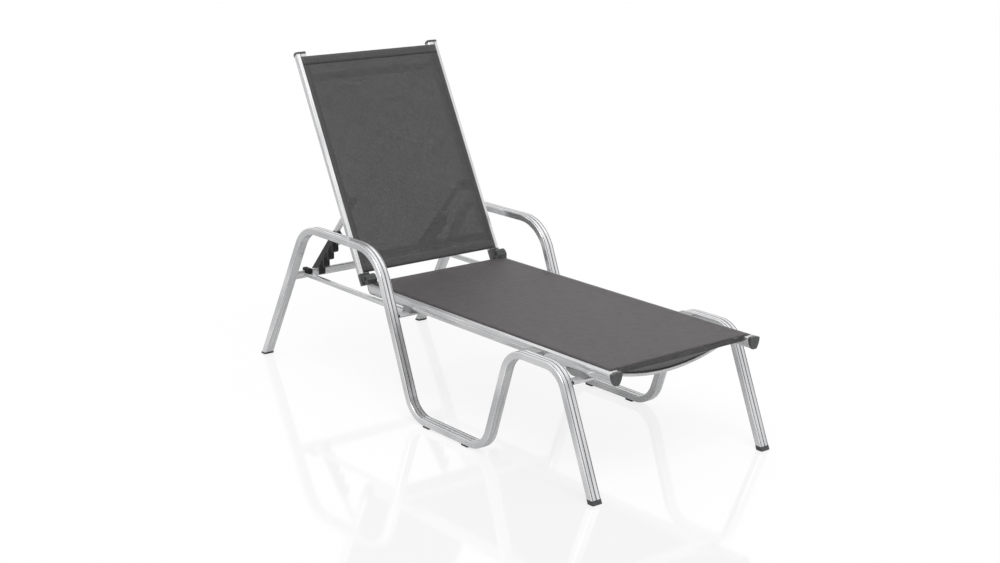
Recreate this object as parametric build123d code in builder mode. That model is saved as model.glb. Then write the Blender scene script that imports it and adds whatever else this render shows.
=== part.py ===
"""Reclining sun lounger: bent tube side frames, sling seat, sling back on two notched props.

Millimetres. X runs along the lounger with the foot end at +X, Y across it with the left side
of the person lying on it at +Y, Z up. The origin is on the floor in the middle of the footprint.
The left half is modelled at +Y and the right half is its mirror image.
"""

from build123d import *
import math
import os

os.makedirs("parts", exist_ok=True)

# ------------------------------------------------------------------ driving sizes
# clearances
fit_gap = 0.2               # between a cut seat and the piece that sits in it
soft_gap = 0.3              # round fabric
pin_clearance = 0.05        # radial, pin in its bore

# side frame tube
frame_width = 700.0         # over the outer faces of the two side frames
tube_width = 35.0           # across the lounger
tube_depth = 22.0
tube_corner = 4.0
tube_wall = 1.8
groove_width = 3.2          # groove in the middle of the decorated face
edge_groove_width = 2.0     # thinner grooves along its two edges
edge_groove_offset = 13.0
groove_depth = 0.9

seat_height = 364.0         # fabric plane of the seat

# side frame path, along the tube's centre line
rear_lean = 29.6            # legs from vertical, degrees
down_lean = 21.56
rise_lean = 19.23
front_lean = 22.24
armrest_height = 505.5
armrest_length = 419.9
floor_run_height = 15.5
floor_run_length = 359.6
hump_below_seat = 14.3
hump_length = 220.1
armrest_rear_radius = 120.0
armrest_front_radius = 138.0
floor_bend_radius = 90.0
hump_rear_radius = 90.0
hump_front_radius = 82.0

# feet and glides
rear_cap_rim = 1.4          # foot cap stands proud of the tube
front_cap_rim = 0.6
rear_cap_height = 5.5
front_cap_height = 13.0
foot_spigot_length = 25.0
glide_length = 33.0
glide_width = 31.0
glide_inset = 2.0           # glide's outer edge inside the frame's outer face
glide_offsets = (72.5, 267.5)   # along the floor run, from its rear bend point

# crossbars: flat oval tube
bar_width = 34.0
bar_thickness = 12.0
bar_wall = 1.5
rear_bar_below_seat = 49.0  # bar's centre, on the rear legs
bar_below_seat = 51.5       # centres of the two bars under the seat rails
spreader_behind_end = 90.0  # spreader's centre behind the rails' front ends
spreader_gap = 3.0          # least gap between the front crossbar and the spreader
spreader_below_seat = 67.6  # its centre line in the middle
spreader_radius = 690.0

# side ties
tie_offset = 7.5            # outside the rail's centre
tie_width = 18.0
tie_depth = 14.0
tie_wall = 1.5
bumper_height = 17.0
bumper_front = 35.0         # ahead of the rear bar's centre
bumper_rear = 6.0
bumper_round = 4.0

# seat and back rails: shield-shaped extrusion
rail_inset = 82.5           # rail's centre inside the frame's outer face
rail_width = 36.0
rail_depth = 36.0
rail_foot = 13.0            # width of the narrow face away from the fabric
rail_shoulder = 3.0         # flank's upper end below the fabric
rail_wall = 2.0
slot_offset = 5.0           # fabric slot outside the rail's centre
slot_width = 2.0
slot_floor = 1.0            # inner half of the rail's face below the fabric plane
cord_channel = 7.0
cord_channel_depth = 6.5
cord_diameter = 6.4
hollow_top = 13.0

seat_rail_start = 578.0     # from the rear foot, along the floor
seat_rail_end = 1740.0
end_cap_length = 11.0
end_cap_rim = 0.8
plug_length = 20.0

# slings
fabric = 1.0
seat_sling_start = 571.4
seat_sling_end = 1723.7
flap_hem = 13.0             # upright front hem of the flap below the seat's front edge
flap_seat = 8.0             # flap's rear edge ahead of the spreader's centre
flap_narrowing = 9.0        # rear edge narrower than the hem at each end
back_sling_bottom = 31.0
back_sling_top = 779.5

# backrest, measured along its fabric plane from the seat's height
back_lean = 27.4            # from vertical, degrees
back_foot = 548.0           # where the fabric plane meets the seat's height
back_rail_bottom = 30.0
back_rail_top = 790.0
top_cap_length = 7.0
top_cap_rim = 1.5
cross_tube_diameter = 26.0
cross_tube_wall = 1.5
cross_tube_depth = 20.0     # centre behind the fabric
cross_tube_places = (86.0, 710.5)

# hinge
pivot_x = 560.0             # from the rear foot
pivot_above_seat = 14.0
hinge_eye_radius = 14.0
hinge_eye_width = 12.0
hinge_fork_gap = 0.5
hinge_pin_diameter = 8.0
hinge_head_diameter = 13.0
hinge_head_height = 1.2
hinge_flange = 3.4
hinge_heel = 8.0            # sleeve reaches below the seat's height, along the back
hinge_heel_radius = 14.0

# props
prop_offset = 50.5          # prop's centre inside the rail's
prop_pivot_up = 273.6       # along the back from the seat's height
prop_pivot_behind = 28.9    # behind the back's fabric plane
prop_diameter = 20.0
prop_wall = 1.5
prop_above_pin = 12.0
prop_below_bar = 18.5       # tube's foot below the crossbar's centre
prop_plug = 2.0
prop_plug_depth = 7.0
prop_plug_round = 1.0
prop_pin_diameter = 8.0
prop_pin_head = 13.0
prop_pin_head_height = 2.5
bar_stand_off = 25.8        # crossbar's centre in front of the tube's centre line
bracket_wall_gap = 1.3      # between tube and bracket
bracket_height = 30.0
bracket_depth = 34.0

# rack
rack_width = 24.0
rack_reach = 40.8           # tooth tips in front of the tube's centre line
rack_back = 2.0             # rack wraps the tube to this far behind its centre line
rack_pitch = 42.9
rack_teeth = 5
pocket_gap = 0.5
tooth_face = 25.0
rack_fit = 0.15
rack_top_margin = 8.5

# saddles and spacers
saddle_width = 26.0
saddle_tail = 44.0          # front saddle's tail behind the crossbar
saddle_tail_lip = 24.0
saddle_rise = 8.0           # cheeks up the rail's flanks
spacer_length = 51.0
spacer_offset = 55.2        # centre ahead of the hump's rear bend point
spacer_height = 15.0
screw_diameter = 5.0
screw_head = 10.0
screw_head_height = 3.0
screw_end = 4.0             # beyond the rail's lower wall

# blocks that only cut other pieces
cutter = 160.0

# ------------------------------------------------------------------ worked-out places


def tan(angle):
    """Tangent of an angle in degrees"""
    return math.tan(math.radians(angle))


def direction(angle):
    """Unit vector in the XZ plane at an angle from +X, in degrees"""
    return Vector(math.cos(math.radians(angle)), 0, math.sin(math.radians(angle)))


hump_height = seat_height - hump_below_seat
bar_height = seat_height - bar_below_seat
rear_bar_height = seat_height - rear_bar_below_seat
rear_reach = (tube_depth / 2 + rear_cap_rim) / math.cos(math.radians(rear_lean))
front_reach = (tube_depth / 2 + front_cap_rim) / math.cos(math.radians(front_lean))
rear_rise = armrest_height * tan(rear_lean)
down_run = (armrest_height - floor_run_height) * tan(down_lean)
up_run = (hump_height - floor_run_height) * tan(rise_lean)
front_fall = hump_height * tan(front_lean)
foot_span = rear_rise + armrest_length + down_run + floor_run_length + up_run + hump_length + front_fall
rear_foot = -(foot_span + front_reach - rear_reach) / 2

armrest_start = rear_foot + rear_rise
armrest_end = armrest_start + armrest_length
floor_run_start = armrest_end + down_run
floor_run_end = floor_run_start + floor_run_length
hump_start = floor_run_end + up_run
hump_end = hump_start + hump_length
front_foot = hump_end + front_fall
frame_centre = frame_width / 2 - tube_width / 2
frame_inside = frame_width / 2 - tube_width
rail_centre = frame_width / 2 - rail_inset
tie_centre = rail_centre + tie_offset
prop_centre = rail_centre - prop_offset

rear_bar_x = rear_foot + rear_bar_height * tan(rear_lean)
mid_bar_x = armrest_end + (armrest_height - bar_height) * tan(down_lean)
front_bar_x = hump_end + (hump_height - bar_height) * tan(front_lean)
rear_bar_direction = direction(90 - rear_lean)

rail_start = rear_foot + seat_rail_start
rail_end = rear_foot + seat_rail_end
spreader_x = max(rail_end - spreader_behind_end, front_bar_x + bar_width + spreader_gap)
spreader_bottom = seat_height - spreader_below_seat
pivot = Vector(rear_foot + pivot_x, 0, seat_height + pivot_above_seat)

back_up = direction(90 + back_lean)
back_face = direction(back_lean)
back_origin = Vector(rear_foot + back_foot, 0, seat_height)
pivot_up = (pivot - back_origin).dot(back_up)
pivot_ahead = (pivot - back_origin).dot(back_face)

bar_centre = Vector(rear_bar_x, 0, rear_bar_height)
prop_pivot = back_origin + back_up * prop_pivot_up - back_face * prop_pivot_behind
prop_span = prop_pivot - bar_centre
prop_reach = math.sqrt(prop_span.length**2 - bar_stand_off**2)
prop_angle = math.degrees(math.atan2(prop_span.Z, prop_span.X) - math.atan2(bar_stand_off, prop_reach))
prop_up = direction(prop_angle)
prop_face = direction(prop_angle - 90)
prop_foot = prop_reach + prop_below_bar


def at_y(point, y):
    """The point of the XZ plane moved out to a distance from the middle of the lounger"""
    return Vector(point.X, y, point.Z)


def seat_plane(x):
    """Section plane across a left seat rail: local x outwards, local y up, normal to the foot end"""
    return Plane(origin=(x, rail_centre, seat_height), x_dir=(0, 1, 0), z_dir=(1, 0, 0))


def back_plane(up):
    """Section plane across a left back rail: local x outwards, local y to the sling, normal down"""
    return Plane(origin=at_y(back_origin + back_up * up, rail_centre), x_dir=(0, 1, 0), z_dir=-back_up)


def side_plane(y, origin=Vector(0, 0, 0), x_dir=Vector(1, 0, 0)):
    """Plane of a side view: local x along x_dir, normal +Y"""
    return Plane(origin=at_y(origin, y), x_dir=x_dir, z_dir=(0, 1, 0))


def back_side_plane(y):
    """Side view of the backrest: local x up the back, local y towards its face"""
    return side_plane(y, back_origin, back_up)


# ------------------------------------------------------------------ rail section
flank_step = (rail_width - rail_foot) / 2
flank_height = rail_depth - rail_shoulder
flank_radius = (flank_step**2 + flank_height**2) / (2 * flank_step)


def flank(height, inset=0.0):
    """Half width of the rail at a height below the fabric plane"""
    bulge = math.sqrt((flank_radius - inset) ** 2 - (height + rail_shoulder) ** 2)
    return rail_width / 2 - flank_radius + bulge


def flank_arc(side, start, end, inset=0.0):
    """One curved flank of the rail, between two heights"""
    heights = (start, (start + end) / 2, end)
    ThreePointArc(*[(side * flank(height, inset), height) for height in heights])


def rail_envelope(grow):
    """Rail outline grown outwards, for end caps and for the seats cut round a rail"""
    with BuildLine() as outline:
        bottom = -rail_depth - grow
        flank_arc(-1, bottom, -rail_shoulder, -grow)
        flank_arc(1, bottom, -rail_shoulder, -grow)
        top = flank(-rail_shoulder, -grow)
        foot = flank(bottom, -grow)
        Polyline((-top, -rail_shoulder), (-top + rail_shoulder, grow),
                 (slot_offset + slot_width / 2, grow), (top, -rail_shoulder))
        Line((-foot, bottom), (foot, bottom))
    make_face(outline.edges())


def rail_hollow(inset, mode=Mode.ADD):
    """Inside of the rail below its cord channel"""
    top = -hollow_top - inset
    bottom = -rail_depth + rail_wall + inset
    depth = rail_wall + inset
    with BuildLine() as outline:
        flank_arc(-1, bottom, top, depth)
        flank_arc(1, bottom, top, depth)
        Line((-flank(top, depth), top), (flank(top, depth), top))
        Line((-flank(bottom, depth), bottom), (flank(bottom, depth), bottom))
    make_face(outline.edges(), mode=mode)


def rail_section():
    """Whole section of the rail: shield outline, hollow, fabric slot and cord channel"""
    inner_lip = slot_offset - slot_width / 2
    outer_lip = slot_offset + slot_width / 2
    with BuildLine() as outline:
        flank_arc(-1, -rail_depth, -rail_shoulder)
        flank_arc(1, -rail_depth, -rail_shoulder)
        Polyline((-rail_width / 2, -rail_shoulder), (-rail_width / 2 + rail_shoulder, -slot_floor),
                 (inner_lip, -slot_floor), (inner_lip, 0), (outer_lip, 0),
                 (rail_width / 2, -rail_shoulder))
        Line((-rail_foot / 2, -rail_depth), (rail_foot / 2, -rail_depth))
    make_face(outline.edges())
    rail_hollow(0, Mode.SUBTRACT)
    with Locations((slot_offset, -cord_channel_depth)):
        Circle(cord_channel / 2, mode=Mode.SUBTRACT)
    with Locations((slot_offset, -cord_channel_depth / 2)):
        Rectangle(slot_width, cord_channel_depth, mode=Mode.SUBTRACT)


def sling_edge(length, plane):
    """Fabric's hem going down into a rail's slot"""
    drop = cord_channel_depth - cord_diameter / 2 - soft_gap
    with BuildSketch(plane) as hem:
        with Locations((slot_offset, -drop / 2 + soft_gap / 2)):
            Rectangle(fabric, drop + soft_gap)
    extrude(hem.sketch, amount=length)


def bar_slot(grow=0.0, rotation=0.0, mode=Mode.ADD):
    """Section of a crossbar"""
    SlotOverall(bar_width + 2 * grow, bar_thickness + 2 * grow, rotation=rotation, mode=mode)


def cross_bore(centre, y, diameter, length):
    """Bore along Y with running clearance for a pin"""
    with BuildSketch(side_plane(y, centre)) as bore:
        Circle(diameter / 2 + pin_clearance)
    extrude(bore.sketch, amount=length, both=True, mode=Mode.SUBTRACT)


def save(piece, label):
    """Name a finished piece and write it"""
    piece.part.label = label
    export_step(piece.part, f"parts/{label}.step")


def save_pair(piece, label):
    """Write a left piece and its mirror image on the right"""
    with BuildPart() as twin:
        mirror(piece.part, about=Plane.XZ)
    save(piece, f"{label}_left")
    save(twin, f"{label}_right")


# ------------------------------------------------------------------ side frames
leg_up = direction(90 - rear_lean)
front_leg_up = direction(90 + front_lean)
below_floor = tube_depth


def tube_outline(grow=0.0):
    """Rounded rectangle of the frame tube"""
    RectangleRounded(tube_width + 2 * grow, tube_depth + 2 * grow, tube_corner + grow)


def tube_bore(inset=0.0, mode=Mode.ADD):
    """Inside of the frame tube"""
    width = tube_width - 2 * tube_wall - 2 * inset
    depth = tube_depth - 2 * tube_wall - 2 * inset
    RectangleRounded(width, depth, tube_corner - tube_wall - inset, mode=mode)


with BuildPart() as side_frame:
    with BuildLine(Plane(origin=(0, frame_centre, 0), x_dir=(1, 0, 0), z_dir=(0, -1, 0))) as frame_path:
        FilletPolyline(
            (rear_foot - below_floor * tan(rear_lean), -below_floor),
            (armrest_start, armrest_height),
            (armrest_end, armrest_height),
            (floor_run_start, floor_run_height),
            (floor_run_end, floor_run_height),
            (hump_start, hump_height),
            (hump_end, hump_height),
            (front_foot + below_floor * tan(front_lean), -below_floor),
            radius=(armrest_rear_radius, armrest_front_radius, floor_bend_radius,
                    floor_bend_radius, hump_rear_radius, hump_front_radius),
        )
    with BuildSketch(Plane(origin=frame_path.wire() @ 0, x_dir=(0, 1, 0), z_dir=leg_up)):
        tube_outline()
        tube_bore(mode=Mode.SUBTRACT)
        with Locations((0, tube_depth / 2)):
            Rectangle(groove_width, 2 * groove_depth, mode=Mode.SUBTRACT)
        with Locations((-edge_groove_offset, tube_depth / 2), (edge_groove_offset, tube_depth / 2)):
            Rectangle(edge_groove_width, 2 * groove_depth, mode=Mode.SUBTRACT)
    sweep()
    for foot_x, cap_height in ((rear_foot, rear_cap_height), (front_foot, front_cap_height)):
        with Locations((foot_x, frame_centre, cap_height)):
            Box(cutter, cutter, cutter, mode=Mode.SUBTRACT, align=(Align.CENTER, Align.CENTER, Align.MAX))
save_pair(side_frame, "side_frame")


def foot_cap(foot_x, leg_direction, cap_height, cap_rim, label):
    """Cap that follows the leg's slope, with a plug in the tube"""
    foot_plane = Plane(origin=(foot_x, frame_centre, 0), x_dir=(0, 1, 0), z_dir=leg_direction)
    with BuildPart() as cap:
        with BuildSketch(foot_plane):
            tube_outline(cap_rim)
        extrude(amount=cutter / 2, both=True)
        with Locations((foot_x, frame_centre, 0)):
            Box(2 * cutter, cutter, cap_height, mode=Mode.INTERSECT,
                align=(Align.CENTER, Align.CENTER, Align.MIN))
        with BuildSketch(foot_plane.offset(cap_height / leg_direction.Z)):
            tube_bore(fit_gap)
        extrude(amount=foot_spigot_length)
    save_pair(cap, label)


foot_cap(rear_foot, leg_up, rear_cap_height, rear_cap_rim, "rear_foot_cap")
foot_cap(front_foot, front_leg_up, front_cap_height, front_cap_rim, "front_foot_cap")

glide_top = floor_run_height - tube_depth / 2
glide_centre = frame_width / 2 - glide_inset - glide_width / 2
for place, glide_offset in zip(("rear", "front"), glide_offsets):
    with BuildPart() as floor_glide:
        with BuildSketch(Plane.XY):
            with Locations((floor_run_start + glide_offset, glide_centre)):
                RectangleRounded(glide_length, glide_width, tube_corner)
        extrude(amount=glide_top)
    save_pair(floor_glide, f"{place}_glide")

# ------------------------------------------------------------------ crossbars
with BuildPart() as rear_crossbar:
    with BuildSketch(side_plane(0, bar_centre, rear_bar_direction)):
        bar_slot()
        bar_slot(-bar_wall, mode=Mode.SUBTRACT)
    extrude(amount=frame_inside, both=True)
save(rear_crossbar, "rear_crossbar")


def screw_bores(x):
    """Upright bores for the screws that hold a bar and its saddles to the seat rails"""
    with Locations((x, rail_centre, bar_height), (x, -rail_centre, bar_height)):
        Cylinder(screw_diameter / 2 + pin_clearance, cutter, mode=Mode.SUBTRACT)


for place, bar_x in (("mid", mid_bar_x), ("front", front_bar_x)):
    with BuildPart() as crossbar:
        with BuildSketch(side_plane(0, Vector(bar_x, 0, bar_height))):
            bar_slot()
            bar_slot(-bar_wall, mode=Mode.SUBTRACT)
        extrude(amount=frame_inside, both=True)
        screw_bores(bar_x)
    save(crossbar, f"{place}_crossbar")


def spreader_arc(inset, half_width):
    """Arc along the spreader, moved towards its centre of curvature"""
    radius = spreader_radius - inset
    end_height = spreader_bottom + spreader_radius - math.sqrt(radius**2 - half_width**2)
    ThreePointArc((-half_width, end_height), (0, spreader_bottom + inset), (half_width, end_height))


def across_plane(x):
    """Upright plane across the lounger: local x to the left, local y up"""
    return Plane(origin=(x, 0, 0), x_dir=(0, 1, 0), z_dir=(1, 0, 0))


with BuildPart() as front_spreader:
    with BuildLine(across_plane(spreader_x)) as spreader_path:
        spreader_arc(0, rail_centre)
    spreader_start = spreader_path.wire() @ 0
    with BuildSketch(Plane(origin=spreader_start, x_dir=(1, 0, 0), z_dir=spreader_path.wire() % 0)):
        bar_slot()
        bar_slot(-bar_wall, mode=Mode.SUBTRACT)
    sweep()
    with BuildSketch(seat_plane(spreader_x - bar_width)):
        rail_envelope(fit_gap)
    rail_seat = extrude(amount=2 * bar_width, mode=Mode.PRIVATE)
    add(rail_seat, mode=Mode.SUBTRACT)
    mirror(rail_seat, about=Plane.XZ, mode=Mode.SUBTRACT)
save(front_spreader, "front_spreader")

# ------------------------------------------------------------------ side ties and bumpers
with BuildPart() as side_tie:
    with BuildSketch(Plane(origin=at_y(bar_centre, tie_centre), x_dir=(0, 1, 0), z_dir=(1, 0, 0))):
        RectangleRounded(tie_width, tie_depth, tube_corner)
        RectangleRounded(tie_width - 2 * tie_wall, tie_depth - 2 * tie_wall, tube_corner - tie_wall,
                         mode=Mode.SUBTRACT)
    extrude(amount=mid_bar_x - rear_bar_x)
    with BuildSketch(side_plane(tie_centre, bar_centre, rear_bar_direction)):
        bar_slot(fit_gap)
    extrude(amount=tie_width, both=True, mode=Mode.SUBTRACT)
    with BuildSketch(side_plane(tie_centre, Vector(mid_bar_x, 0, bar_height))):
        bar_slot(fit_gap)
    extrude(amount=tie_width, both=True, mode=Mode.SUBTRACT)
    with Locations((mid_bar_x, tie_centre, rear_bar_height)):
        Box(bar_width, 2 * tie_width, 2 * tie_depth, mode=Mode.SUBTRACT)
    with Locations((rear_bar_x, tie_centre, rear_bar_height)):
        Box(bar_thickness, 2 * tie_width, 2 * tie_depth, mode=Mode.SUBTRACT,
            align=(Align.MAX, Align.CENTER, Align.CENTER))
save_pair(side_tie, "side_tie")

bumper_floor = rear_bar_height + tie_depth / 2
bumper_length = bumper_front + bumper_rear
with BuildPart() as tie_bumper:
    with Locations((rear_bar_x - bumper_rear + bumper_length / 2, tie_centre, bumper_floor)):
        Box(bumper_length, tie_width, bumper_height, align=(Align.CENTER, Align.CENTER, Align.MIN))
    fillet(tie_bumper.edges().filter_by(Axis.Z), bumper_round)
    fillet(tie_bumper.faces().sort_by(Axis.Z)[-1].edges(), bumper_round)
    with BuildSketch(side_plane(tie_centre, bar_centre, rear_bar_direction)):
        bar_slot(fit_gap)
    extrude(amount=tie_width, both=True, mode=Mode.SUBTRACT)
save_pair(tie_bumper, "tie_bumper")

# ------------------------------------------------------------------ seat rails
with BuildPart() as seat_rail:
    with BuildSketch(seat_plane(rail_start)):
        rail_section()
    extrude(amount=rail_end - rail_start)
    with Locations(*[(bar_x, rail_centre, seat_height - rail_depth) for bar_x in (mid_bar_x, front_bar_x)]):
        Cylinder(screw_diameter / 2 + pin_clearance, 2 * hollow_top, mode=Mode.SUBTRACT)
save_pair(seat_rail, "seat_rail")

with BuildPart() as seat_rail_cap:
    with BuildSketch(seat_plane(rail_end)):
        rail_envelope(end_cap_rim)
    extrude(amount=end_cap_length)
    chamfer(seat_rail_cap.faces().sort_by(Axis.X)[-1].edges(), end_cap_rim)
    with BuildSketch(seat_plane(rail_end - plug_length)):
        rail_hollow(fit_gap)
    extrude(amount=plug_length)
save_pair(seat_rail_cap, "seat_rail_cap")

with BuildPart() as seat_cord:
    with BuildSketch(seat_plane(rail_start)):
        with Locations((slot_offset, -cord_channel_depth)):
            Circle(cord_diameter / 2)
    extrude(amount=rear_foot + seat_sling_end - rail_start)
save_pair(seat_cord, "seat_keder_cord")

sling_half = rail_centre + slot_offset + fabric / 2
sling_low = soft_gap - slot_floor   # fabric's underside, from the fabric plane
sling_front = rear_foot + seat_sling_end
with BuildPart() as seat_sling:
    sling_x = rear_foot + seat_sling_start
    with Locations((sling_x, 0, seat_height + sling_low)):
        Box(sling_front - sling_x, 2 * sling_half, fabric, align=(Align.MIN, Align.CENTER, Align.MIN))
    sling_edge(sling_front - rail_start, seat_plane(rail_start))
    mirror(about=Plane.XZ)
    with Locations((sling_x, rail_centre, seat_height), (sling_x, -rail_centre, seat_height)):
        notch = rail_start + soft_gap - sling_x
        Box(2 * notch, rail_width + 2 * soft_gap, rail_depth, mode=Mode.SUBTRACT)
save(seat_sling, "seat_sling")

flap_top = seat_height + sling_low
flap_fold = flap_top - flap_hem
flap_half = rail_centre - rail_width / 2 - soft_gap
flap_rear = spreader_x + flap_seat
with BuildPart() as front_flap:
    with Locations((sling_front, 0, flap_top)):
        Box(fabric, 2 * flap_half, flap_hem, align=(Align.MAX, Align.CENTER, Align.MAX))
    with BuildSketch(across_plane(sling_front - fabric)):
        with Locations((0, flap_fold + fabric / 2)):
            Rectangle(2 * flap_half, fabric)
    with BuildSketch(across_plane(flap_rear)):
        with BuildLine() as flap_edge:
            lower = bar_thickness / 2 + soft_gap
            spreader_arc(lower, flap_half - flap_narrowing)
            spreader_arc(lower + fabric, flap_half - flap_narrowing)
            for end in (0, 1):
                Line(flap_edge.edges()[0] @ end, flap_edge.edges()[1] @ end)
        make_face()
    loft(ruled=True)
save(front_flap, "seat_front_flap")

# ------------------------------------------------------------------ saddles and spacers


def rail_saddle(bar_x, tail, label):
    """Block between a crossbar and the seat rail, with cheeks up the rail's flanks"""
    bar_top = bar_height + bar_thickness / 2
    rail_bottom = seat_height - rail_depth
    profile = [
        (bar_x + bar_width / 2, bar_top),
        (bar_x + bar_width / 2, rail_bottom + saddle_rise),
        (bar_x - bar_width / 2, rail_bottom + saddle_rise),
    ]
    if tail:
        profile += [(bar_x - bar_width / 2 - tail, rail_bottom + saddle_rise / 2),
                    (bar_x - bar_width / 2 - tail, rail_bottom),
                    (bar_x - bar_width / 2 - tail + saddle_tail_lip, bar_top - bar_thickness / 4)]
        profile += [(bar_x - bar_width / 2 - fit_gap, bar_top - bar_thickness / 4)]
    profile += [(bar_x - bar_width / 2 - (fit_gap if tail else 0), bar_top)]
    with BuildPart() as saddle:
        with BuildSketch(Plane(origin=(0, rail_centre, 0), x_dir=(1, 0, 0), z_dir=(0, -1, 0))):
            with BuildLine():
                Polyline(*profile, close=True)
            make_face()
        extrude(amount=saddle_width / 2, both=True)
        with BuildSketch(seat_plane(bar_x - 2 * bar_width - tail)):
            rail_envelope(fit_gap)
        extrude(amount=4 * bar_width + tail, mode=Mode.SUBTRACT)
        screw_bores(bar_x)
    save_pair(saddle, label)


rail_saddle(mid_bar_x, 0.0, "mid_saddle")
rail_saddle(front_bar_x, saddle_tail, "front_saddle")

screw_top = seat_height - rail_depth + rail_wall + screw_end
screw_seat = bar_height - bar_thickness / 2
screw_places = [(bar_x, side * rail_centre, screw_seat)
                for bar_x in (mid_bar_x, front_bar_x) for side in (1, -1)]
with BuildPart() as rail_screws:
    with Locations(*screw_places):
        Cylinder(screw_diameter / 2, screw_top - screw_seat, align=(Align.CENTER, Align.CENTER, Align.MIN))
        Cylinder(screw_head / 2, screw_head_height, align=(Align.CENTER, Align.CENTER, Align.MAX))
save(rail_screws, "rail_screws")

spacer_x = hump_start + spacer_offset
with BuildPart() as rail_spacer:
    with Locations((spacer_x, frame_inside, hump_height)):
        Box(spacer_length, frame_inside - rail_centre, spacer_height,
            align=(Align.CENTER, Align.MAX, Align.CENTER))
    with BuildSketch(seat_plane(spacer_x - spacer_length)):
        rail_envelope(fit_gap)
    extrude(amount=2 * spacer_length, mode=Mode.SUBTRACT)
save_pair(rail_spacer, "rail_spacer")

# ------------------------------------------------------------------ hinges
fork_inner = hinge_eye_width / 2 + hinge_fork_gap
fork_outer = rail_width / 2
flange_start = rail_start - hinge_flange


def hinge_lug(plane, centre, corners):
    """Side profile of a lug: round at the pivot, running into a foot"""
    with BuildSketch(plane) as lug:
        with Locations(centre):
            Circle(hinge_eye_radius)
        with BuildLine():
            Polyline(*corners, close=True)
        make_face()
        make_hull()
    return lug.sketch


with BuildPart() as lower_hinge:
    lug_side = Plane(origin=(0, rail_centre, 0), x_dir=(1, 0, 0), z_dir=(0, -1, 0))
    lug_foot = seat_height - rail_shoulder
    lug = hinge_lug(lug_side, (pivot.X, pivot.Z),
                    [(flange_start, lug_foot), (rail_start, lug_foot),
                     (rail_start, pivot.Z), (flange_start, pivot.Z)])
    extrude(lug, amount=fork_outer, both=True)
    with Locations((pivot.X, rail_centre, pivot.Z)):
        Box(2 * (flange_start - pivot.X), 2 * fork_inner, 3 * hinge_eye_radius, mode=Mode.SUBTRACT)
    cross_bore(pivot, rail_centre, hinge_pin_diameter, rail_width)
    with BuildSketch(seat_plane(flange_start)):
        rail_envelope(0)
    extrude(amount=hinge_flange)
    with BuildSketch(seat_plane(rail_start)):
        rail_hollow(fit_gap)
    extrude(amount=plug_length)
save_pair(lower_hinge, "lower_hinge")

with BuildPart() as upper_hinge:
    with BuildSketch(back_plane(back_rail_bottom)):
        rail_envelope(0)
    extrude(amount=back_rail_bottom + hinge_heel)
    with BuildSketch(back_side_plane(rail_centre)):
        with BuildLine():
            FilletPolyline((back_rail_bottom, rail_depth), (-hinge_heel, rail_depth),
                           (-hinge_heel, -rail_depth), (back_rail_bottom, -rail_depth),
                           radius=(0, hinge_heel_radius))
            Line((back_rail_bottom, -rail_depth), (back_rail_bottom, rail_depth))
        make_face()
    extrude(amount=rail_width, both=True, mode=Mode.INTERSECT)
    lug = hinge_lug(back_side_plane(rail_centre), (pivot_up, pivot_ahead),
                    [(-hinge_heel / 2, -rail_shoulder), (back_rail_bottom - rail_shoulder, -rail_shoulder),
                     (back_rail_bottom - rail_shoulder, -slot_floor)])
    extrude(lug, amount=hinge_eye_width / 2, both=True)
    cross_bore(pivot, rail_centre, hinge_pin_diameter, rail_width)
    with BuildSketch(back_plane(back_rail_bottom + plug_length)):
        rail_hollow(fit_gap)
    extrude(amount=plug_length)
save_pair(upper_hinge, "upper_hinge")

with BuildPart() as hinge_pin:
    with BuildSketch(side_plane(rail_centre, pivot)):
        Circle(hinge_pin_diameter / 2)
    extrude(amount=fork_outer, both=True)
    with BuildSketch(side_plane(rail_centre + fork_outer, pivot)):
        Circle(hinge_head_diameter / 2)
    extrude(amount=hinge_head_height)
    with BuildSketch(side_plane(rail_centre - fork_outer, pivot)):
        Circle(hinge_head_diameter / 2)
    extrude(amount=-hinge_head_height)
save_pair(hinge_pin, "hinge_pin")

# ------------------------------------------------------------------ backrest
with BuildPart() as back_rail:
    with BuildSketch(back_plane(back_rail_top)):
        rail_section()
    extrude(amount=back_rail_top - back_rail_bottom)
save_pair(back_rail, "back_rail")

with BuildPart() as back_rail_cap:
    with BuildSketch(back_plane(back_rail_top + top_cap_length)):
        rail_envelope(top_cap_rim)
    extrude(amount=top_cap_length)
    chamfer(back_rail_cap.faces().sort_by(Axis.Z)[-1].edges(), top_cap_rim)
    with BuildSketch(back_plane(back_rail_top)):
        rail_hollow(fit_gap)
    extrude(amount=plug_length)
save_pair(back_rail_cap, "back_rail_cap")

with BuildPart() as back_cord:
    with BuildSketch(back_plane(back_sling_top)):
        with Locations((slot_offset, -cord_channel_depth)):
            Circle(cord_diameter / 2)
    extrude(amount=back_sling_top - back_sling_bottom)
save_pair(back_cord, "back_keder_cord")

with BuildPart() as back_sling:
    with BuildSketch(Plane(origin=back_origin + back_face * sling_low, x_dir=(0, 1, 0), z_dir=back_face)):
        with Locations((0, (back_sling_bottom + back_sling_top) / 2)):
            Rectangle(2 * sling_half, back_sling_top - back_sling_bottom)
    extrude(amount=fabric)
    sling_edge(back_sling_top - back_sling_bottom, back_plane(back_sling_top))
    mirror(about=Plane.XZ)
save(back_sling, "back_sling")

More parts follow.
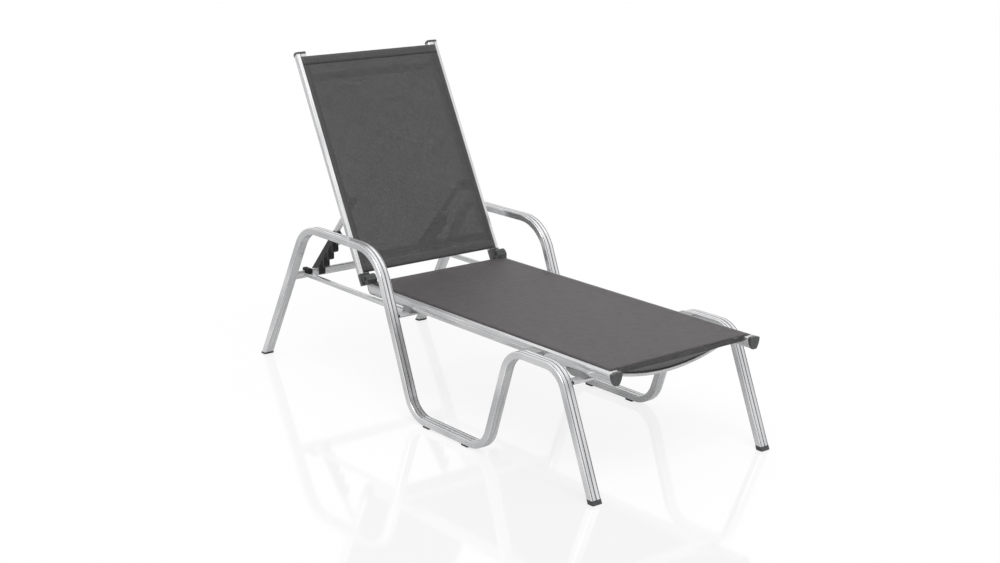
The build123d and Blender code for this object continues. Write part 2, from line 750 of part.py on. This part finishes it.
for place, up in zip(("lower", "upper"), cross_tube_places):
    tube_axis = back_origin + back_up * up - back_face * cross_tube_depth
    with BuildPart() as cross_tube:
        with BuildSketch(side_plane(0, tube_axis)):
            Circle(cross_tube_diameter / 2)
            Circle(cross_tube_diameter / 2 - cross_tube_wall, mode=Mode.SUBTRACT)
        extrude(amount=rail_centre, both=True)
        with BuildSketch(back_plane(up + cross_tube_diameter)):
            rail_envelope(fit_gap)
        rail_cut = extrude(amount=2 * cross_tube_diameter, mode=Mode.PRIVATE)
        add(rail_cut, mode=Mode.SUBTRACT)
        mirror(rail_cut, about=Plane.XZ, mode=Mode.SUBTRACT)
    save(cross_tube, f"back_{place}_cross_tube")

# ------------------------------------------------------------------ prop brackets and pins
prop_side = prop_centre + prop_diameter / 2
bracket_inner = prop_side + bracket_wall_gap
with BuildPart() as prop_bracket:
    with BuildSketch(side_plane(bracket_inner, prop_pivot, back_up)):
        with Locations((0, prop_pin_diameter / 2)):
            RectangleRounded(bracket_height, bracket_depth, prop_pin_diameter)
    extrude(amount=rail_centre - bracket_inner)
    with BuildSketch(back_plane(prop_pivot_up + bracket_height)):
        rail_envelope(fit_gap)
    extrude(amount=2 * bracket_height, mode=Mode.SUBTRACT)
    cross_bore(prop_pivot, bracket_inner, prop_pin_diameter, rail_width)
save_pair(prop_bracket, "prop_bracket")

pin_end = rail_centre - rail_width / 2
pin_head = prop_centre - prop_diameter / 2 - soft_gap
with BuildPart() as prop_pin:
    with BuildSketch(side_plane(pin_head, prop_pivot)):
        Circle(prop_pin_diameter / 2)
    extrude(amount=pin_end - pin_head)
    with BuildSketch(side_plane(pin_head, prop_pivot)):
        Circle(prop_pin_head / 2)
    extrude(amount=-prop_pin_head_height)
save_pair(prop_pin, "prop_pin")

# ------------------------------------------------------------------ props


def prop_plane(up):
    """Plane across the left prop tube, at a distance up from its pin"""
    return Plane(origin=at_y(prop_pivot + prop_up * up, prop_centre), x_dir=(0, 1, 0), z_dir=prop_up)


prop_bore = prop_diameter / 2 - prop_wall
with BuildPart() as prop_tube:
    with BuildSketch(prop_plane(-prop_foot)):
        Circle(prop_diameter / 2)
        Circle(prop_bore, mode=Mode.SUBTRACT)
    extrude(amount=prop_foot + prop_above_pin)
    cross_bore(prop_pivot, prop_centre, prop_pin_diameter, prop_diameter)
save_pair(prop_tube, "prop_tube")

for place, end, outwards in (("top", prop_above_pin, 1), ("foot", -prop_foot, -1)):
    with BuildPart() as prop_end:
        with BuildSketch(prop_plane(end)):
            Circle(prop_diameter / 2)
        extrude(amount=outwards * prop_plug)
        fillet(prop_end.faces().sort_by(Axis.Z)[-1 if outwards > 0 else 0].edges(), prop_plug_round)
        with BuildSketch(prop_plane(end)):
            Circle(prop_bore - fit_gap)
        extrude(amount=-outwards * prop_plug_depth)
    save_pair(prop_end, f"prop_{place}_plug")

# ------------------------------------------------------------------ notched racks


def rack_vector(point):
    """A step in the XZ plane, in the rack's own directions: up the tube, out of its face"""
    return Vector(point.dot(prop_up), point.dot(prop_face))


def pocket(centre):
    """Pocket round the crossbar, open straight down"""
    radius = bar_thickness / 2 + pocket_gap
    reach = rack_vector(rear_bar_direction) * (bar_width - bar_thickness) / 2
    right = rack_vector(Vector(1, 0, 0)) * radius
    down = rack_vector(Vector(0, 0, -1)) * 2 * rack_reach
    turn = math.degrees(math.atan2(reach.Y, reach.X))
    with Locations(centre):
        bar_slot(pocket_gap, rotation=turn, mode=Mode.SUBTRACT)
    corners = [centre + reach + right, centre + reach + right + down,
               centre - reach - right + down, centre - reach - right]
    with BuildLine() as outline:
        Polyline(*corners, close=True)
    make_face(outline.edges(), mode=Mode.SUBTRACT)


last_tooth = -prop_reach + (rack_teeth - 1) * rack_pitch
rack_top = last_tooth + tooth_face * math.sin(math.radians(prop_angle)) + rack_top_margin
with BuildPart() as rack:
    with BuildSketch(side_plane(prop_centre, prop_pivot, prop_up)):
        with BuildLine():
            Polyline((-prop_foot, -rack_back), (rack_top, -rack_back), (rack_top, rack_reach),
                     (-prop_foot, rack_reach), close=True)
        make_face()
        for tooth in range(rack_teeth + 1):
            pocket(Vector(-prop_reach + tooth * rack_pitch, bar_stand_off))
    extrude(amount=rack_width / 2, both=True)
    with BuildSketch(prop_plane(-prop_foot)):
        Circle(prop_diameter / 2 + rack_fit)
    extrude(amount=prop_foot, mode=Mode.SUBTRACT)
save_pair(rack, "prop_rack")
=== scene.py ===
"""Looks of the reclining sun lounger: satin aluminium, woven sling fabric, moulded plastic.

Metres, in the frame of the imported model: X along the lounger to the foot end, Y to the left of the
person lying on it, Z up.
"""

import math

import bpy
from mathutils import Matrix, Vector


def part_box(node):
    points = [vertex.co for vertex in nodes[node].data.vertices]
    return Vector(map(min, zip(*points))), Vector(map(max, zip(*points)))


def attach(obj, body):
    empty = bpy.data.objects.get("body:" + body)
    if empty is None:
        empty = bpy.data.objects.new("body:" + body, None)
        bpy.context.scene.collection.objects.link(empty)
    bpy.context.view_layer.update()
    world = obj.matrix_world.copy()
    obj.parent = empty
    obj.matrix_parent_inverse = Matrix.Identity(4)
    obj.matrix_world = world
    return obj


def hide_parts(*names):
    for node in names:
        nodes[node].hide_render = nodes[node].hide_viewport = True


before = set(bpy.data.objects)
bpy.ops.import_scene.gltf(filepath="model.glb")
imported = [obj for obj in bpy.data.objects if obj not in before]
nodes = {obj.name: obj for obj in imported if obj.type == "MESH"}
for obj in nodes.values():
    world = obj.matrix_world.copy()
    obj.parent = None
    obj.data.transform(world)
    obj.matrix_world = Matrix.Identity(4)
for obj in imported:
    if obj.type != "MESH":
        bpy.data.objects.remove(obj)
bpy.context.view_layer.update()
left_right = ("left", "right")

# ------------------------------------------------------------------ named values
# cloth
back_lean = math.radians(27.4)      # backrest from vertical
fabric = 0.001                      # cloth thickness
seat_slack = 0.002                  # dip in the middle of the seat's cloth
tongue_gap = 0.001                  # between the rails and the cloth's rear end
tongue_rows = 3                     # rows of the seat's grid in that rear end
side_hem = 0.020                    # strip folded double round the cord along each rail, painted darker as shade
hem_width = 0.030                   # turned edge at the top and foot of the back
hem_proud = 0.0005                  # hem's second layer above the cloth
flap_hem = 0.013                    # upright hem of the flap under the seat's front edge
flap_hem_rows = 3
flap_narrowing = 0.009              # flap's rear edge narrower at each end
flap_radius = 0.683                 # bend of its rear edge round the spreader
seat_rows, seat_columns = 80, 40
flap_rows, flap_columns = 14, 50
back_rows, back_columns = 60, 40
hem_rows = 4

# seams
stitch_length = 0.0042
stitch_pitch = 0.0060
stitch_radius = 0.0005
stitch_sides = 6
stitch_shape = ((-0.5, 0.35), (-0.25, 1.0), (0.25, 1.0), (0.5, 0.35))   # way along, thickness
seam_inset = 0.0035                 # stitches from a hem's edge

# weave
weave_cell = 0.0042                 # one square of the basket weave
yarn_pitch = 0.0014
slub_rate = (25, 180, 25)           # slubs per metre, for yarns along the cloth
cross_slub_rate = (180, 25, 25)     # and for yarns across it
back_slubs = 0.55                   # the back's yarns are more even than the seat's
back_holes = 0.045                  # the back's weave is open where its cells are lower than this

# metal
along_marks = 6                     # drawing marks per metre along a tube
across_marks = 1600                 # and across it
round_marks = 900                   # round the prop tubes
streak_rate = 230                   # wider streaks per metre across a tube
tube_centre = 0.3325                # side frame's middle plane, from the lounger's middle
groove_pitch = 0.013                # grooves of the tube, each side of the middle one
groove_shade_half = 0.0021                # half width of the painted shade over the middle one of the grooves, with its lips
edge_groove_shade_half = 0.0014
groove_facing = 0.05                # grooves are only on faces that look up more than this
groove_shade_cover = 0.85                 # how much of the metal's colour their painted shade hides
# painted shade: this dark colour is laid in the grooves and on their lips, over the half widths
# above
groove_shade_colour = (0.09, 0.09, 0.095)
metal_dark = (0.56, 0.565, 0.575)
metal_light = (0.82, 0.82, 0.83)

# studio
sky_fill = 0.37                     # strength of the sky as light on the object
sky_seen = 1.0                      # and where it is seen, directly or in a reflection
floor_reach = 40.0
floor_shade = 0.6                   # grey of its paint
floor_glow_strength = 1.11          # plain white, where the floor is seen
floor_glow_share = 0.82             # the rest is its paint, which takes the object's shadow
floor_in_gloss = 0.45               # share of that glow in reflections
floor_gloss_share = 0.11            # faint mirror image of the object
floor_gloss_roughness = 0.06
camera_place = Vector((3.98674, -3.12542, 1.75604))
camera_azimuth = math.radians(51.673)
camera_elevation = math.radians(15.118)
camera_lens = 59.28
camera_sensor = 36
camera_reach = 200                  # farthest that it sees


# ------------------------------------------------------------------ shader helpers
class Nodes:
    """Short calls for the nodes of a material or of the world"""

    def __init__(self, tree):
        self.tree = tree

    def node(self, kind, **settings):
        """A new node with its settings"""
        made = self.tree.nodes.new("ShaderNode" + kind)
        for key, value in settings.items():
            setattr(made, key, value)
        return made

    def link(self, source, target):
        """Joins an output to an input"""
        self.tree.links.new(source, target)

    def put(self, socket, value):
        """Sets an input to a number or joins it to an output"""
        if isinstance(value, bpy.types.NodeSocket):
            self.link(value, socket)
        else:
            socket.default_value = value

    def math(self, operation, *values):
        """A Math node of one, two or three values"""
        made = self.node("Math", operation=operation)
        for socket, value in zip(made.inputs, values):
            self.put(socket, value)
        return made.outputs[0]

    def scaled(self, value, factor):
        """A value times a factor"""
        return self.math("MULTIPLY", value, factor)

    def weighed(self, *parts):
        """Sum of values, each given with its weight"""
        total = self.scaled(*parts[0])
        for part in parts[1:]:
            total = self.math("ADD", total, self.scaled(*part))
        return total

    def highest(self, *values):
        """The highest of some values"""
        top = values[0]
        for value in values[1:]:
            top = self.math("MAXIMUM", top, value)
        return top

    def span(self, value, low, high, source_low=0.3, source_high=0.7):
        """Maps a value from one range to another, held within it"""
        made = self.node("MapRange")
        self.put(made.inputs["Value"], value)
        for name, number in (("From Min", source_low), ("From Max", source_high),
                             ("To Min", low), ("To Max", high)):
            self.put(made.inputs[name], number)
        return made.outputs["Result"]


class Shader(Nodes):
    """A material with a Principled shader"""

    def __init__(self, name):
        self.material = bpy.data.materials.new(name)
        self.material.use_nodes = True
        super().__init__(self.material.node_tree)
        self.principled = self.tree.nodes["Principled BSDF"]

    def place(self, rotation=(0, 0, 0), scale=(1, 1, 1)):
        """Object coordinates, turned and then scaled"""
        vector = self.node("TexCoord").outputs["Object"]
        for name, value in (("Rotation", rotation), ("Scale", scale)):
            mapping = self.node("Mapping")
            mapping.inputs[name].default_value = value
            self.link(vector, mapping.inputs["Vector"])
            vector = mapping.outputs["Vector"]
        return vector

    def axes(self, vector):
        """The three parts of a vector"""
        made = self.node("SeparateXYZ")
        self.link(vector, made.inputs[0])
        return made.outputs

    def noise(self, vector, scale=1.0, detail=3.0, roughness=0.5):
        """Noise value from 0 to 1"""
        made = self.node("TexNoise")
        self.link(vector, made.inputs["Vector"])
        made.inputs["Scale"].default_value = scale
        made.inputs["Detail"].default_value = detail
        made.inputs["Roughness"].default_value = roughness
        return made.outputs["Fac"]

    def near(self, value, centre, half):
        """One where a value is within half of the centre, else zero"""
        return self.math("COMPARE", value, centre, half)

    def wave(self, value, pitch):
        """A wave that crosses zero once in each pitch"""
        return self.math("SINE", self.scaled(value, math.pi / pitch))

    def ridge(self, value, pitch):
        """One rounded ridge in each pitch"""
        return self.math("ABSOLUTE", self.wave(value, pitch))

    def tint(self, factor, first, second):
        """A colour from the first to the second, by a factor"""
        made = self.node("Mix", data_type="RGBA")
        self.put(made.inputs["Factor"], factor)
        for socket, colour in ((made.inputs["A"], first), (made.inputs["B"], second)):
            self.put(socket, colour if isinstance(colour, bpy.types.NodeSocket) else (*colour, 1))
        return made.outputs["Result"]

    def bump(self, height, distance, strength):
        """Bump into the shader's normal"""
        made = self.node("Bump")
        made.inputs["Strength"].default_value = strength
        made.inputs["Distance"].default_value = distance
        self.link(height, made.inputs["Height"])
        self.link(made.outputs["Normal"], self.principled.inputs["Normal"])

    def set(self, **values):
        """Sets or joins inputs of the Principled shader, with _ for a space"""
        for name, value in values.items():
            self.put(self.principled.inputs[name.replace("_", " ")], value)


# ------------------------------------------------------------------ materials
def aluminium(name, marks, rotation=(0, 0, 0), grooves=()):
    """Satin anodised aluminium with drawing marks, few per metre along the tube and many across it.
    grooves are places, each with its half width, measured across from the lounger's middle. There
    the colour is painted dark, as shade in the grooves and on their lips."""
    look = Shader(name)
    drawn = look.noise(look.place(rotation, marks), detail=4.0, roughness=0.6)
    streak_marks = tuple(min(rate, streak_rate) for rate in marks)
    streaks = look.noise(look.place(rotation, streak_marks), detail=1.0)
    cloudy = look.noise(look.place(), scale=9.0, detail=2.0)
    scuffs = look.noise(look.place(), scale=160.0, detail=5.0, roughness=0.7)
    scuffed = look.span(scuffs, 0.0, 1.0, source_low=0.62, source_high=0.74)
    shade = look.span(look.weighed((drawn, 0.30), (cloudy, 0.15), (streaks, 0.55)), 0.0, 1.0,
                      source_low=0.38, source_high=0.62)
    colour = look.tint(shade, metal_dark, metal_light)
    relief = look.scaled(drawn, 0.08)
    if grooves:
        # painted shade: on faces that look up, the grooves and their lips are darkened in the
        # colour, besides their dip in the bump
        across = look.math("ABSOLUTE", look.axes(look.place())[1])
        facing = look.axes(look.node("NewGeometry").outputs["True Normal"])[2]
        shaded_groove = look.scaled(look.highest(0.0, *(look.near(across, *sizes) for sizes in grooves)),
                             look.math("GREATER_THAN", facing, groove_facing))
        colour = look.tint(look.scaled(shaded_groove, groove_shade_cover), colour, groove_shade_colour)
        relief = look.math("SUBTRACT", relief, shaded_groove)
    look.set(
        Base_Color=colour,
        Metallic=0.6,
        Roughness=look.math("ADD", look.span(drawn, 0.20, 0.32), look.scaled(scuffed, 0.1)),
    )
    look.bump(relief, distance=0.0005, strength=0.6)
    return look.material


def sling_cloth(name, tilt, dark, light, holes=0.0, edge=0.0, slubs=0.9):
    """Coated yarn in a basket weave, in the cloth's own plane, with slubs of that strength. Its low
    parts between the yarns and the squares are painted darker, as shade. It is open between the
    squares where their cells are lower than holes. Beyond edge the cloth is folded double round
    the cord and closed, and painted darker, as the shade of cloth that lets no light through."""
    look = Shader(name)
    turned = (0, tilt, 0)
    along, across = look.axes(look.place(turned))[0:2]
    squares = look.scaled(look.wave(across, weave_cell), look.wave(along, weave_cell))
    over = look.math("GREATER_THAN", squares, 0.0)
    yarn = look.weighed((look.ridge(across, yarn_pitch), over),
                        (look.ridge(along, yarn_pitch), look.math("SUBTRACT", 1.0, over)))
    cell = look.scaled(look.ridge(across, weave_cell), look.ridge(along, weave_cell))
    height = look.weighed((yarn, 0.35), (cell, 0.65))
    soiled = look.noise(look.place(), scale=6.0, detail=4.0)
    uneven = look.math("ADD", *(look.noise(look.place(turned, rate), detail=1.0)
                                for rate in (slub_rate, cross_slub_rate)))
    # painted shade: the weave is darker where it is lower, between the yarns and the squares; the
    # soiled and slub noise vary its tone at random
    shade = look.weighed((height, 0.8), (soiled, 0.2), (over, 0.10),
                         (look.math("SUBTRACT", uneven, 1.0), slubs))
    colour = look.tint(look.span(shade, 0.0, 1.0, source_low=0.2, source_high=1.0), dark, light)
    doubled_shade = 0.0
    if edge:
        # painted shade: the strip beyond edge, folded double round the cord, is darkened as cloth
        # that lets no light through
        doubled_shade = look.math("GREATER_THAN", look.math("ABSOLUTE", across), edge)
        colour = look.tint(look.scaled(doubled_shade, 0.35), colour, dark)
    look.set(
        Base_Color=colour,
        Roughness=look.span(height, 0.62, 0.46, source_low=0.0, source_high=1.0),
        Sheen_Weight=0.15,
        Sheen_Roughness=0.4,
    )
    if holes:
        closed = look.math("SUBTRACT", 1.0, look.math("LESS_THAN", cell, holes))
        look.set(Alpha=look.highest(closed, doubled_shade))
    look.bump(height, distance=0.0004, strength=0.8)
    return look.material


def moulded(name, dark, light, roughness, specular=0.5):
    """Moulded plastic with a fine grain and faint handling marks"""
    look = Shader(name)
    grain = look.noise(look.place(), scale=1400.0)
    rubbed = look.noise(look.place(), scale=70.0, detail=5.0, roughness=0.65)
    look.set(
        Base_Color=look.tint(look.span(rubbed, 0.0, 1.0), dark, light),
        Roughness=look.span(rubbed, roughness + 0.08, roughness - 0.08),
        Specular_IOR_Level=specular,
    )
    look.bump(grain, distance=0.00008, strength=0.7)
    return look.material


def plated_steel(name, dark, light):
    """Plated steel with small dull patches"""
    look = Shader(name)
    patches = look.noise(look.place(), scale=220.0, detail=4.0, roughness=0.6)
    look.set(
        Base_Color=look.tint(look.span(patches, 0.0, 1.0), dark, light),
        Metallic=1.0,
        Roughness=look.span(patches, 0.42, 0.24),
    )
    look.bump(patches, distance=0.00003, strength=0.5)
    return look.material


def thread(name, dark, light):
    """Twisted sewing thread"""
    look = Shader(name)
    twist = look.noise(look.place(), scale=3000.0, detail=2.0)
    look.set(Base_Color=look.tint(twist, dark, light), Roughness=0.7)
    look.bump(twist, distance=0.0001, strength=0.8)
    return look.material


seat_low, seat_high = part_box("seat_sling")
back_low, back_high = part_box("back_sling")
sling_half = seat_high.y
hem_edge = sling_half - side_hem
back_tilt = back_lean - math.pi / 2
frame_grooves = ((tube_centre, groove_shade_half), (tube_centre - groove_pitch, edge_groove_shade_half),
                 (tube_centre + groove_pitch, edge_groove_shade_half))

frame_metal = aluminium("drawn_frame_tube", (along_marks, across_marks, along_marks),
                        grooves=frame_grooves)
seat_rail_metal = aluminium("drawn_seat_rail", (along_marks, across_marks, across_marks))
back_rail_metal = aluminium("drawn_back_rail", (across_marks, across_marks, along_marks),
                            rotation=(0, back_lean, 0))
crossbar_metal = aluminium("drawn_crossbar", (across_marks, along_marks, across_marks))
prop_metal = aluminium("drawn_prop", (round_marks, across_marks, round_marks))
seat_cloth = sling_cloth("seat_weave", 0.0, (0.015, 0.0120, 0.0128), (0.076, 0.066, 0.069),
                         edge=hem_edge)
back_cloth = sling_cloth("back_weave", back_tilt, (0.020, 0.019, 0.0195), (0.080, 0.076, 0.078),
                         holes=back_holes, edge=hem_edge, slubs=back_slubs)
back_hem_cloth = sling_cloth("back_hem_weave", back_tilt, (0.020, 0.019, 0.020),
                             (0.080, 0.077, 0.079), slubs=back_slubs)
flap_cloth = sling_cloth("flap_weave", math.pi / 2, (0.022, 0.021, 0.022), (0.075, 0.072, 0.075))
grey_plastic = moulded("grey_plastic", (0.055, 0.056, 0.058), (0.095, 0.096, 0.10), roughness=0.42)
hinge_plastic = moulded("hinge_plastic", (0.035, 0.036, 0.038), (0.070, 0.071, 0.074),
                        roughness=0.40)
saddle_plastic = moulded("saddle_plastic", (0.26, 0.26, 0.265), (0.36, 0.36, 0.365), roughness=0.45)
black_plastic = moulded("black_plastic", (0.006, 0.006, 0.007), (0.015, 0.015, 0.016),
                        roughness=0.30, specular=0.35)
rubber = moulded("black_rubber", (0.006, 0.006, 0.006), (0.014, 0.014, 0.014),
                 roughness=0.60, specular=0.25)
cord_plastic = moulded("cord_plastic", (0.010, 0.010, 0.010), (0.03, 0.03, 0.03), roughness=0.5)
pin_steel = plated_steel("plated_steel", (0.42, 0.42, 0.43), (0.68, 0.68, 0.70))
dark_steel = plated_steel("blackened_steel", (0.030, 0.030, 0.032), (0.075, 0.075, 0.078))
hem_thread = thread("hem_thread", (0.030, 0.029, 0.030), (0.085, 0.083, 0.085))

node_looks = (
    ("side_frame", frame_metal),
    ("seat_rail_cap", grey_plastic),
    ("back_rail_cap", hinge_plastic),
    ("seat_rail", seat_rail_metal),
    ("back_rail", back_rail_metal),
    ("side_tie", seat_rail_metal),
    ("rear_crossbar", crossbar_metal),
    ("mid_crossbar", crossbar_metal),
    ("front_crossbar", crossbar_metal),
    ("front_spreader", crossbar_metal),
    ("back_lower_cross_tube", crossbar_metal),
    ("back_upper_cross_tube", crossbar_metal),
    ("prop_tube", prop_metal),
    ("front_foot_cap", hinge_plastic),
    ("rear_foot_cap", black_plastic),
    ("rear_glide", rubber),
    ("front_glide", rubber),
    ("front_saddle", saddle_plastic),
    ("mid_saddle", saddle_plastic),
    ("rail_spacer", saddle_plastic),
    ("tie_bumper", rubber),
    ("lower_hinge", hinge_plastic),
    ("upper_hinge", hinge_plastic),
    ("prop_bracket", black_plastic),
    ("prop_rack", black_plastic),
    ("prop_top_plug", black_plastic),
    ("prop_foot_plug", black_plastic),
    ("hinge_pin", dark_steel),
    ("prop_pin", pin_steel),
    ("rail_screws", pin_steel),
    ("seat_keder_cord", cord_plastic),
    ("back_keder_cord", cord_plastic),
)
for start, material in node_looks:
    for name in (start, *(f"{start}_{side}" for side in left_right)):
        if name in nodes:
            nodes[name].data.materials.clear()
            nodes[name].data.materials.append(material)


# ------------------------------------------------------------------ cloth
def piece(name, points, faces, material):
    """A mesh object from points and faces"""
    mesh = bpy.data.meshes.new(name)
    mesh.from_pydata([tuple(p) for p in points], [], faces)
    mesh.materials.append(material)
    for face in mesh.polygons:
        face.use_smooth = True
    made = bpy.data.objects.new(name, mesh)
    bpy.context.scene.collection.objects.link(made)
    return made


def grid(rows, columns, place):
    """Points and faces of a grid, where place gives a point from two shares"""
    points = [place(i / (rows - 1), j / (columns - 1)) for i in range(rows) for j in range(columns)]
    corners = [i * columns + j for i in range(rows - 1) for j in range(columns - 1)]
    faces = [(a, a + 1, a + columns + 1, a + columns) for a in corners]
    return points, faces


def thicken(made, depth):
    """Gives a sheet its thickness, away from its face"""
    solid = made.modifiers.new("thickness", "SOLIDIFY")
    solid.thickness = depth
    solid.offset = -1.0


def stitch_faces(first):
    """Faces of one stitch: its sides, then its two ends"""
    rings = len(stitch_shape) - 1
    faces = []
    for ring in range(rings):
        for k in range(stitch_sides):
            a = first + ring * stitch_sides + k
            b = first + ring * stitch_sides + (k + 1) % stitch_sides
            faces.append((a, b, b + stitch_sides, a + stitch_sides))
    faces.append(tuple(first + k for k in reversed(range(stitch_sides))))
    faces.append(tuple(first + rings * stitch_sides + k for k in range(stitch_sides)))
    return faces


def seams(name, body, material, rows):
    """Sewn rows in one object. A row is its start, its end and the way that the cloth faces."""
    points, faces = [], []
    for start, end, out in rows:
        run = end - start
        along = run.normalized()
        aside = along.cross(out)
        count = int(run.length / stitch_pitch)
        for i in range(count):
            middle = start + run * ((i + 0.5) / count)
            faces += stitch_faces(len(points))
            for reach, swell in stitch_shape:
                for k in range(stitch_sides):
                    turn = 2 * math.pi * k / stitch_sides
                    outward = aside * math.cos(turn) + out * math.sin(turn)
                    points.append(middle + along * (reach * stitch_length)
                                  + outward * (stitch_radius * swell))
    made = piece(name, points, faces, material)
    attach(made, body)
    return made


# seat
seat_top = seat_high.z
rail_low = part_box("seat_rail_left")[0]
tongue = rail_low.x - seat_low.x                # rear end of the cloth, between the hinges
tongue_half = rail_low.y - tongue_gap
up = Vector((0, 0, 1))


def seat_point(share_x, share_y):
    """The seat's cloth: flat at the rails, a little slack in the middle, cut clear of the hinges"""
    row = round(share_x * (seat_rows - 1))
    if row < tongue_rows:
        half = tongue_half
        x = seat_low.x + tongue * row / tongue_rows
    else:
        half = sling_half
        share = (row - tongue_rows) / (seat_rows - 1 - tongue_rows)
        x = rail_low.x + (seat_high.x - rail_low.x) * share
    slack = seat_slack * math.sin(math.pi * share_y) * math.sin(math.pi * share_x)
    return Vector((x, half * (2 * share_y - 1), seat_top - slack))


seat = piece("seat_cloth", *grid(seat_rows, seat_columns, seat_point), seat_cloth)
thicken(seat, fabric)
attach(seat, "base")
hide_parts("seat_sling")
seat_seams = seams("seat_seams", "base", hem_thread, [
    (Vector((rail_low.x, side * (hem_edge + seam_inset), seat_top)),
     Vector((seat_high.x, side * (hem_edge + seam_inset), seat_top)), up)
    for side in (1, -1)])

# flap under the seat's front edge
flap_low, flap_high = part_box("seat_front_flap")
flap_half = flap_high.y
flap_fold = flap_high.z - flap_hem


def flap_edge(y):
    """Height of the flap's rear edge, bent round the spreader"""
    return flap_low.z + flap_radius - math.sqrt(flap_radius**2 - y**2)


def flap_point(share_down, share_y):
    """The flap: an upright hem, then down and back to the spreader"""
    fold = flap_hem_rows / (flap_rows - 1)
    y = flap_half * (2 * share_y - 1)
    if share_down <= fold:
        return Vector((flap_high.x, y, flap_high.z - flap_hem * share_down / fold))
    share = (share_down - fold) / (1 - fold)
    rear_y = y * (1 - flap_narrowing / flap_half)
    return Vector((flap_high.x + (flap_low.x - flap_high.x) * share, y + (rear_y - y) * share,
                   flap_fold + (flap_edge(rear_y) - flap_fold) * share))


flap = piece("front_flap_cloth", *grid(flap_rows, flap_columns, flap_point), flap_cloth)
thicken(flap, fabric)
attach(flap, "base")
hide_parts("seat_front_flap")
flap_seam = seams("front_flap_seam", "base", hem_thread, [
    (Vector((flap_high.x, -flap_half, flap_fold + seam_inset)),
     Vector((flap_high.x, flap_half, flap_fold + seam_inset)), Vector((1, 0, 0)))])

# back: length and thickness along its own lean, from the box of the leaning plate
back_run = back_high.x - back_low.x
back_rise = back_high.z - back_low.z
back_sin = math.sin(back_lean)
back_cos = math.cos(back_lean)
back_length = (back_rise * back_cos - back_run * back_sin) / (back_cos**2 - back_sin**2)
back_depth = (back_run * back_cos - back_rise * back_sin) / (back_cos**2 - back_sin**2)
back_foot = Vector((back_high.x, 0, back_low.z + back_depth * back_sin))
back_up = Vector((-back_sin, 0, back_cos))
back_face = Vector((back_cos, 0, back_sin))


def back_place(rise, y, proud=0.0):
    """A point of the back's cloth, by its way up from the foot"""
    return back_foot + back_up * rise + back_face * proud + Vector((0, y, 0))


def back_point(share_up, share_y):
    """The back's cloth, from its foot up"""
    return back_place(back_length * share_up, sling_half * (2 * share_y - 1))


back = piece("back_cloth", *grid(back_rows, back_columns, back_point), back_cloth)
thicken(back, fabric)
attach(back, "backrest")
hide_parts("back_sling")


def back_hem(name, start):
    """The cloth turned over on itself along the top or the foot of the back"""

    def hem_point(share_up, share_y):
        return back_place(start + hem_width * share_up, sling_half * (2 * share_y - 1), hem_proud)

    made = piece(name, *grid(hem_rows, back_columns, hem_point), back_hem_cloth)
    thicken(made, hem_proud)
    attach(made, "backrest")
    return made


top_start = back_length - hem_width
back_hems = [back_hem("back_top_hem", top_start), back_hem("back_foot_hem", 0.0)]
back_seams = seams("back_seams", "backrest", hem_thread, [
    *((back_place(0, side * (hem_edge + seam_inset)),
       back_place(back_length, side * (hem_edge + seam_inset)), back_face) for side in (1, -1)),
    *((back_place(rise, -sling_half, hem_proud), back_place(rise, sling_half, hem_proud), back_face)
      for rise in (top_start + seam_inset, hem_width - seam_inset))])

# ------------------------------------------------------------------ studio
white = (1, 1, 1, 1)
world = bpy.data.worlds.new("studio")
bpy.context.scene.world = world
world.use_nodes = True
sky = Nodes(world.node_tree)
backdrop_light = sky.tree.nodes["Background"]
backdrop_light.inputs["Color"].default_value = white
path = sky.node("LightPath").outputs
seen = sky.highest(path["Is Camera Ray"], path["Is Transmission Ray"], path["Is Glossy Ray"])
sky.link(sky.span(seen, sky_fill, sky_seen, source_low=0.0, source_high=1.0),
         backdrop_light.inputs["Strength"])

floor_look = Shader("floor_paper")
floor_look.set(Base_Color=(floor_shade, floor_shade, floor_shade, 1), Roughness=0.9,
               Specular_IOR_Level=0.0)
floor_glow = floor_look.node("Emission")
floor_glow.inputs["Strength"].default_value = floor_glow_strength
floor_gloss = floor_look.node("BsdfAnisotropic")
floor_gloss.inputs["Roughness"].default_value = floor_gloss_roughness
floor_path = floor_look.node("LightPath").outputs
floor_seen = floor_look.highest(floor_path["Is Camera Ray"], floor_path["Is Transmission Ray"],
                                floor_look.scaled(floor_path["Is Glossy Ray"], floor_in_gloss))


def mixed(share, first, second):
    """Mixes two shaders of the floor"""
    made = floor_look.node("MixShader")
    floor_look.put(made.inputs[0], share)
    floor_look.link(first, made.inputs[1])
    floor_look.link(second, made.inputs[2])
    return made.outputs[0]


floor_body = mixed(floor_look.scaled(floor_seen, floor_glow_share),
                   floor_look.principled.outputs[0], floor_glow.outputs[0])
floor_look.link(mixed(floor_gloss_share, floor_body, floor_gloss.outputs[0]),
                floor_look.tree.nodes["Material Output"].inputs["Surface"])
floor_corners = [(floor_reach * x, floor_reach * y, 0)
                 for x, y in ((-1, -1), (1, -1), (1, 1), (-1, 1))]
floor = piece("floor", floor_corners, [(0, 1, 2, 3)], floor_look.material)


def daylight(name, place, softness, strength):
    """A wide distant lamp that shines from a place towards the lounger"""
    lamp = bpy.data.lights.new(name, "SUN")
    lamp.angle = math.radians(softness)
    lamp.energy = strength
    made = bpy.data.objects.new(name, lamp)
    made.location = place
    made.rotation_euler = (-Vector(place)).to_track_quat("-Z", "Y").to_euler()
    bpy.context.scene.collection.objects.link(made)


daylight("key", (1.8, -1.2, 3.6), softness=40, strength=1.75)
daylight("top", (0.2, 0.4, 4.0), softness=80, strength=0.6)

lens = bpy.data.cameras.new("camera")
lens.lens = camera_lens
lens.sensor_width = camera_sensor
lens.clip_end = camera_reach
camera = bpy.data.objects.new("camera", lens)
camera.location = camera_place
camera.rotation_euler = (math.pi / 2 - camera_elevation, 0, camera_azimuth)
bpy.context.scene.collection.objects.link(camera)
bpy.context.scene.camera = camera
bpy.context.scene.view_settings.view_transform = "Standard"
